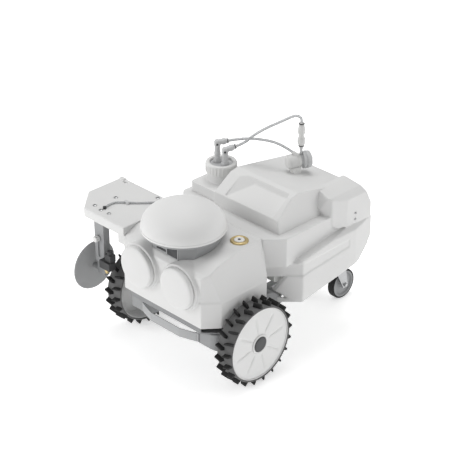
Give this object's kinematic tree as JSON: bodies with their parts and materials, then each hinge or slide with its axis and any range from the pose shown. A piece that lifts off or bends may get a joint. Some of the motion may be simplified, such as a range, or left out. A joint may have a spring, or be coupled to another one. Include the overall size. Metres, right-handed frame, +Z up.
{
  "type": "robotic turf line marker",
  "caption": "Compact robotic line marker with lugged drive wheels, rear castors, domed antenna, paint tank, pump with hoses and a side outrigger holding a spray disc.",
  "frame": {"origin": "the point on the ground midway between the two drive wheels", "axes": "+Z up; +Y towards the rear, the longest extent; +X towards the machine's left"},
  "size_m": [0.6925, 0.7675, 0.6575],
  "materials": {
    "shell_white": "smooth semi-gloss white moulding",
    "hull_white": "smooth semi-gloss white moulding",
    "dome_white": "gloss white radome",
    "base_grey": "satin mid grey",
    "pan_grey": "satin grey powder coat",
    "light_grey": "satin light grey powder coat",
    "dark_plastic": "satin black",
    "tyre_black": "matt black rubber lugs",
    "wheel_white": "semi-gloss white wheel disc",
    "steel": "brushed steel",
    "brass": "satin brass ring",
    "button_white": "white push button",
    "window_glass": "dark display window",
    "hose_clear": "translucent hose",
    "valve_plastic": "off-white plastic valve",
    "tank_plastic": "natural polyethylene",
    "knob_white": "white plastic knob",
    "fitting_grey": "satin light grey push-in fitting",
    "disc_grey": "satin grey disc",
    "hub_grey": "satin dark grey hub cap",
    "battery": "dark battery case"
  },
  "bodies": {
    "machine": {"antenna_base": "base_grey", "antenna_dome": "dome_white", "antenna_window": "window_glass", "battery_pack": "battery", "body_screws": "steel", "button_bezel": "brass", "cap_insert": "fitting_grey", "castor_beam": "pan_grey", "chassis_pan": "pan_grey", "check_valve": "valve_plastic", "drive_pod_left": "base_grey", "drive_pod_right": "base_grey", "elbow_feed": "fitting_grey", "elbow_return": "fitting_grey", "feed_hose": "hose_clear", "filler_neck": "hull_white", "front_bumper": "light_grey", "front_cover_left": "shell_white", "front_cover_right": "shell_white", "front_shell": "shell_white", "gear_motor_left": "steel", "gear_motor_right": "steel", "hose_clip": "fitting_grey", "nozzle_carrier": "dark_plastic", "outrigger_plate": "shell_white", "paint_tank": "tank_plastic", "plate_fitting": "dark_plastic", "plate_screws": "steel", "pump_body": "valve_plastic", "pump_flange": "fitting_grey", "rear_hull": "hull_white", "return_hose": "hose_clear", "spray_hose": "hose_clear", "spray_nozzle": "brass", "spray_post": "base_grey", "spray_valve": "dark_plastic", "tank_hood": "hull_white"},
    "wheel_left": {"tyre_left": "tyre_black", "wheel_disc_left": "wheel_white", "hub_cap_left": "hub_grey", "drive_shaft_left": "steel"},
    "castor_fork_left_body": {"castor_fork_left": "steel", "castor_axle_left": "steel"},
    "castor_roller_left": {"castor_wheel_left": "base_grey", "castor_tyre_left": "tyre_black"},
    "wheel_right": {"tyre_right": "tyre_black", "wheel_disc_right": "wheel_white", "hub_cap_right": "hub_grey", "drive_shaft_right": "steel"},
    "castor_fork_right_body": {"castor_fork_right": "steel", "castor_axle_right": "steel"},
    "castor_roller_right": {"castor_wheel_right": "base_grey", "castor_tyre_right": "tyre_black"},
    "button": {"power_button": "button_white"},
    "cap": {"cap_collar": "knob_white"},
    "carriage": {"disc_arm": "pan_grey", "disc_screw": "steel"},
    "knob": {"height_knob": "knob_white"},
    "disc": {"spray_disc": "disc_grey"}
  },
  "joints": [
    {"name": "wheel_left_spin", "type": "hinge", "parent": "machine", "child": "wheel_left", "pos_m": [0.24, 0, 0.134], "axis": [1, 0, 0], "continuous": true},
    {"name": "wheel_right_spin", "type": "hinge", "parent": "machine", "child": "wheel_right", "pos_m": [-0.24, 0, 0.134], "axis": [1, 0, 0], "continuous": true},
    {"name": "castor_left_swivel", "type": "hinge", "parent": "machine", "child": "castor_fork_left_body", "pos_m": [0.104, 0.502, 0.13], "axis": [0, 0, 1], "continuous": true},
    {"name": "castor_left_roll", "type": "hinge", "parent": "castor_fork_left_body", "child": "castor_roller_left", "pos_m": [0.104, 0.532, 0.05], "axis": [1, 0, 0], "continuous": true},
    {"name": "castor_right_swivel", "type": "hinge", "parent": "machine", "child": "castor_fork_right_body", "pos_m": [-0.104, 0.502, 0.13], "axis": [0, 0, 1], "continuous": true},
    {"name": "castor_right_roll", "type": "hinge", "parent": "castor_fork_right_body", "child": "castor_roller_right", "pos_m": [-0.104, 0.532, 0.05], "axis": [1, 0, 0], "continuous": true},
    {"name": "power_button_press", "type": "slide", "parent": "machine", "child": "button", "axis": [0, 0, -1], "range_m": [0, 0.0025], "stiffness_N_per_m": 900, "springref_m": -0.0006},
    {"name": "cap_collar_turn", "type": "hinge", "parent": "machine", "child": "cap", "pos_m": [-0.146, 0.247, 0.478], "axis": [0, 0, 1], "range_deg": [0, 450]},
    {"name": "disc_height", "type": "slide", "parent": "machine", "child": "carriage", "axis": [0, 0, 1], "range_m": [-0.05, 0]},
    {"name": "height_knob_turn", "type": "hinge", "parent": "carriage", "child": "knob", "pos_m": [-0.304, -0.12, 0.306], "axis": [0, -1, 0], "range_deg": [0, 720]},
    {"name": "spray_disc_spin", "type": "hinge", "parent": "carriage", "child": "disc", "pos_m": [-0.345, -0.105, 0.192], "axis": [1, 0, 0], "continuous": true}
  ]
}
